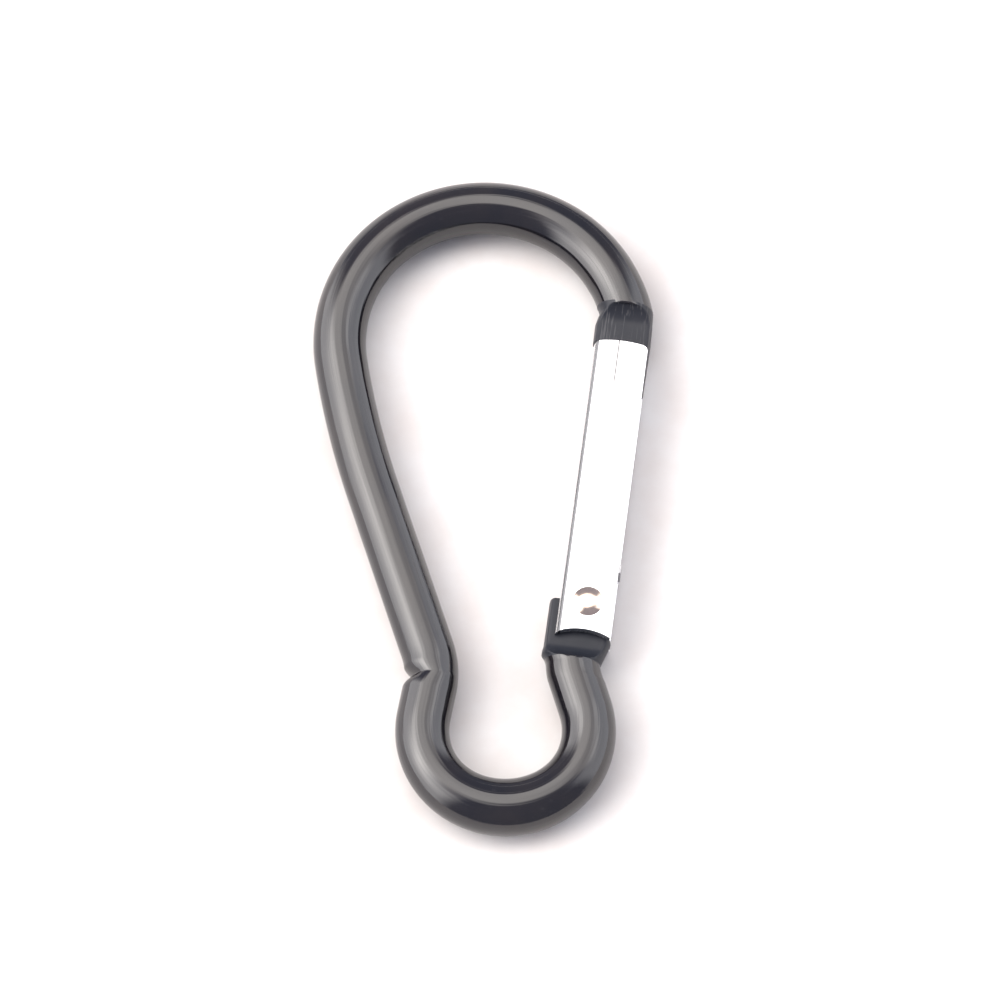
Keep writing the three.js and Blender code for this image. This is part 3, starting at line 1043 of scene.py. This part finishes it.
def gate_finish():
    """Bright rolled sheet: fine lines along it, handling marks, and painted shade lines on the
    rounded fold and where a shallow pressed step runs near the top.
    """
    finish = Finish("gate_silver")
    finish.constants(Metallic=1.0)
    rolling_lines = finish.noise(finish.gate_line((9, 0.12, 9)), detail=4, roughness=0.65)
    cloud = finish.noise(finish.position((0.35, 0.35, 0.35)), detail=3)
    marks = finish.noise(finish.position((1.8, 1.8, 1.8)), detail=3, distortion=1.0)
    tone = finish.mix(finish.remap(cloud, 0.3, 0.7), SHEET_BRIGHT, SHEET_DULL)
    handled = finish.mix(finish.remap(marks, 0.68, 0.76, 0, 0.35), tone, SHEET_MARKED)
    across, up = finish.on_gate_axis(outward), finish.on_gate_axis(along)
    # Painted shade: a dark line where the edge of a shallow pressed step near the top would be
    # shaded; the step itself is not modelled.
    press_shade_line = finish.line(across, **PRESS_STEP_SHADE)
    near_top = finish.remap(up, PRESS_STEP_SHADE_START, PRESS_STEP_SHADE_FULL)
    press_step_shade = finish.maths("MULTIPLY", press_shade_line, near_top)
    # Painted shade: the fold line and the press step line darken the colour in place of shade.
    painted_shade = finish.maths("MAXIMUM", finish.line(across, **FOLD_PAINTED_SHADE), press_step_shade)
    colour = finish.mix(painted_shade, handled, SHEET_PAINTED_SHADE)
    finish.surface(colour, finish.remap(rolling_lines, 0.3, 0.7, *SHEET_ROUGHNESS))
    finish.bump(rolling_lines, SHEET_LINE_DEPTH)
    return finish.material


METAL_GRAIN_DEPTH = 0.002


def metal_finish(name, bright, dark, roughness, grain):
    """Plain metal with a mottled tone and a fine grain of the given size in millimetres."""
    finish = Finish(name)
    finish.constants(Metallic=1.0)
    cloud = finish.noise(finish.position((0.9, 0.9, 0.9)), detail=3)
    fine = finish.noise(finish.position([1 / grain] * 3), detail=3)
    tone = finish.mix(finish.remap(cloud, 0.3, 0.7), bright, dark)
    finish.surface(tone, finish.remap(fine, 0.3, 0.7, *roughness))
    finish.bump(fine, METAL_GRAIN_DEPTH)
    return finish.material


WARM_PAPER = (0.67, 0.635, 0.615)
PLAIN_PAPER = (0.71, 0.695, 0.685)
PAPER_ROUGHNESS = 0.9
PAPER_IOR = 1.2


def floor_finish():
    """White paper with a faint warm mottling."""
    finish = Finish("floor_paper")
    finish.constants(IOR=PAPER_IOR)
    mottle = finish.noise(finish.position((0.16, 0.16, 0.16)), detail=5, roughness=0.6)
    paper = finish.mix(finish.remap(mottle, 0.35, 0.65), WARM_PAPER, PLAIN_PAPER)
    finish.surface(paper, PAPER_ROUGHNESS)
    return finish.material


# ---- stage ----
FLOOR_HALF = 3000.0
TARGET = Vector((0.735, 0.18, 2.53))
CAMERA_DISTANCE = 503
CAMERA_ELEVATION = 67.3
CAMERA_AZIMUTH = -2.88
CAMERA_LENS = 204.6
SENSOR_WIDTH = 36
CLIP_NEAR = 0.01
CLIP_FAR = 20


def build_floor():
    """White ground under the part, far wider than any view of it."""
    half = FLOOR_HALF
    corners = [(-half, -half, 0), (half, -half, 0), (half, half, 0), (-half, half, 0)]
    obj = make_object("floor", corners, [(0, 1, 2, 3)])
    obj.data.materials.append(floor_finish())


def build_camera():
    """Camera high above the small eye's side, looking at the middle of the part."""
    data = bpy.data.cameras.new("camera")
    data.lens = CAMERA_LENS
    data.sensor_width = SENSOR_WIDTH
    data.clip_start = CLIP_NEAR
    data.clip_end = CLIP_FAR
    camera = bpy.data.objects.new("camera", data)
    bpy.context.scene.collection.objects.link(camera)
    azimuth, elevation = math.radians(CAMERA_AZIMUTH), math.radians(CAMERA_ELEVATION)
    back = Vector((
        math.sin(azimuth) * math.cos(elevation),
        -math.cos(azimuth) * math.cos(elevation),
        math.sin(elevation),
    ))
    camera.location = (TARGET + CAMERA_DISTANCE * back) * MM
    camera.rotation_mode = "QUATERNION"
    camera.rotation_quaternion = (-back).to_track_quat("-Z", "Y")
    bpy.context.scene.camera = camera


# Panels of the sky: low end, high end and soft edge each way, or middle and spread for the lamp.
LOWEST_RISE = 0.02
CEILING_ELEVATION = (42, 120, 6)
CEILING_DEPTH = (-0.06, 0.76, 0.16)
CEILING_DIM_ACROSS = (0.15, 3.0, 0.25)
CEILING_DIM = 0.5
LEFT_WINDOW = {"azimuth": (-128, -42, 9), "elevation": (-20, 64, 14)}
LAMP = {"azimuth": (-92, 24), "elevation": (38, 17)}
RIGHT_WINDOW = {"azimuth": (44, 112, 8), "elevation": (-10, 58, 12)}
SURROUND_LIGHT = (0.36, 0.37, 0.46)
CEILING_LIGHT = (3.4, 3.22, 3.02)
LEFT_WINDOW_LIGHT = (2.9, 2.8, 2.75)
LAMP_LIGHT = (4.6, 4.4, 4.2)
RIGHT_WINDOW_LIGHT = (1.8, 1.8, 1.85)
BACKDROP = (1.0, 1.0, 1.0)


class Sky(Wiring):
    """World shader made of soft-edged bright panels on a dim surround."""

    def __init__(self):
        world = bpy.data.worlds.new("studio")
        bpy.context.scene.world = world
        world.use_nodes = True
        super().__init__(world.node_tree)
        coordinates = self.node("ShaderNodeTexCoord")
        split = self.node("ShaderNodeSeparateXYZ")
        self.feed(coordinates.outputs["Generated"], split.inputs["Vector"])
        x, y, z = split.outputs
        to_degrees = 180 / math.pi
        self.azimuth = self.maths("MULTIPLY", self.maths("ARCTAN2", x, y), to_degrees)
        self.elevation = self.maths("MULTIPLY", self.maths("ARCSINE", z), to_degrees)
        rise = self.maths("MAXIMUM", z, LOWEST_RISE)
        self.across = self.maths("DIVIDE", x, rise)
        self.depth = self.maths("DIVIDE", y, rise)

    def within(self, value, low, high, soft):
        """1 between low and high, fading to 0 over a soft edge of that half width."""
        middle, half = (low + high) / 2, (high - low) / 2
        away = self.maths("ABSOLUTE", self.maths("SUBTRACT", value, middle))
        made = self.node("ShaderNodeMapRange", interpolation_type="SMOOTHSTEP")
        made.inputs["From Min"].default_value = half - soft
        made.inputs["From Max"].default_value = half + soft
        made.inputs["To Min"].default_value = 1
        made.inputs["To Max"].default_value = 0
        self.feed(away, made.inputs["Value"])
        return made.outputs["Result"]

    def hill(self, value, middle, spread):
        """Bell curve of a value."""
        away = self.maths("DIVIDE", self.maths("SUBTRACT", value, middle), spread)
        squared = self.maths("MULTIPLY", away, away)
        return self.maths("EXPONENT", self.maths("MULTIPLY", squared, -1.0))

    def window(self, azimuth, elevation):
        """Upright panel, with its low end, high end and soft edge in degrees each way."""
        sideways = self.within(self.azimuth, *azimuth)
        return self.maths("MULTIPLY", sideways, self.within(self.elevation, *elevation))

    def lamp(self, azimuth, elevation):
        """Round glow, with its middle and spread in degrees each way."""
        sideways = self.hill(self.azimuth, *azimuth)
        return self.maths("MULTIPLY", sideways, self.hill(self.elevation, *elevation))

    def ceiling(self):
        """Band overhead, dimmer on the right."""
        above = self.within(self.elevation, *CEILING_ELEVATION)
        band = self.maths("MULTIPLY", self.within(self.depth, *CEILING_DEPTH), above)
        dim = self.maths("MULTIPLY", self.within(self.across, *CEILING_DIM_ACROSS), CEILING_DIM)
        return self.maths("MAXIMUM", self.maths("SUBTRACT", band, dim), 0.0)

    def glow(self, strength, tint):
        """Light of one tint."""
        made = self.node("ShaderNodeVectorMath", operation="SCALE")
        made.inputs[0].default_value = tint
        self.feed(strength, made.inputs["Scale"])
        return made.outputs["Vector"]

    def total(self, glows):
        """All of the light together."""
        result = glows[0]
        for glow in glows[1:]:
            made = self.node("ShaderNodeVectorMath", operation="ADD")
            self.feed(result, made.inputs[0])
            self.feed(glow, made.inputs[1])
            result = made.outputs["Vector"]
        return result

    def show(self, lighting, backdrop):
        """Lights the scene with lighting, behind a plain backdrop."""
        lit = self.node("ShaderNodeBackground")
        self.feed(lighting, lit.inputs["Color"])
        seen = self.node("ShaderNodeBackground")
        seen.inputs["Color"].default_value = (*backdrop, 1)
        path = self.node("ShaderNodeLightPath")
        choose = self.node("ShaderNodeMixShader")
        output = self.node("ShaderNodeOutputWorld")
        self.feed(path.outputs["Is Camera Ray"], choose.inputs[0])
        self.feed(lit.outputs["Background"], choose.inputs[1])
        self.feed(seen.outputs["Background"], choose.inputs[2])
        self.feed(choose.outputs["Shader"], output.inputs["Surface"])


def build_light():
    """Ceiling panel with a window on each side, and dim room in front and behind."""
    sky = Sky()
    lighting = sky.total([
        sky.glow(1.0, SURROUND_LIGHT),
        sky.glow(sky.ceiling(), CEILING_LIGHT),
        sky.glow(sky.window(**LEFT_WINDOW), LEFT_WINDOW_LIGHT),
        sky.glow(sky.lamp(**LAMP), LAMP_LIGHT),
        sky.glow(sky.window(**RIGHT_WINDOW), RIGHT_WINDOW_LIGHT),
    ])
    sky.show(lighting, BACKDROP)
    bpy.context.scene.view_settings.view_transform = "Standard"


# ---- assembly ----
def place(obj, body, node, slot, material):
    """Gives a piece its finish, hangs it on the body it rides on, and hides the CAD part that it
    replaces.
    """
    obj.data.materials.clear()
    obj.data.materials.append(material)
    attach(obj, body)
    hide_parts(node)
    return obj


anodised = rod_finish(
    "frame_anodised",
    pale=(0.012, 0.010, 0.011),
    deep=(0.005, 0.005, 0.008),
    roughness=(0.05, 0.14),
    ripple=1.0,
    specular=0.5,
    scratched=0.0,
)
pressed = rod_finish(
    "frame_pressed",
    pale=(0.022, 0.023, 0.029),
    deep=(0.014, 0.016, 0.022),
    roughness=(0.3, 0.42),
    ripple=0.3,
    specular=0.17,
    scratched=0.5,
)
rivet_metal = metal_finish(
    "rivet_plated",
    bright=(0.92, 0.74, 0.6),
    dark=(0.76, 0.6, 0.48),
    roughness=(0.1, 0.2),
    grain=0.4,
)
wire_metal = metal_finish(
    "spring_wire",
    bright=(0.6, 0.61, 0.62),
    dark=(0.45, 0.46, 0.47),
    roughness=(0.22, 0.38),
    grain=0.2,
)
turned_metal = metal_finish(
    "plunger_steel",
    bright=(0.52, 0.52, 0.53),
    dark=(0.4, 0.4, 0.41),
    roughness=(0.28, 0.45),
    grain=0.25,
)

frame_rod = place(build_frame(), "frame", "frame", "frame", anodised)
paint_pressed(frame_rod, pressed)
place(build_gate(), "gate", "gate", "gate", gate_finish())
place(build_rivet(), "gate", "hinge_rivet", "rivet", rivet_metal)
spring = place(build_spring(), "gate", "gate_spring", "spring", wire_metal)
place(build_plunger(), "plunger", "spring_plunger", "plunger", turned_metal)

spring_top = Vector(from_gate_line(SPRING_X, SPRING_HIGH + SPRING_WIRE_R, 0)) * MM
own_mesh(spring)

build_floor()
build_camera()
build_light()
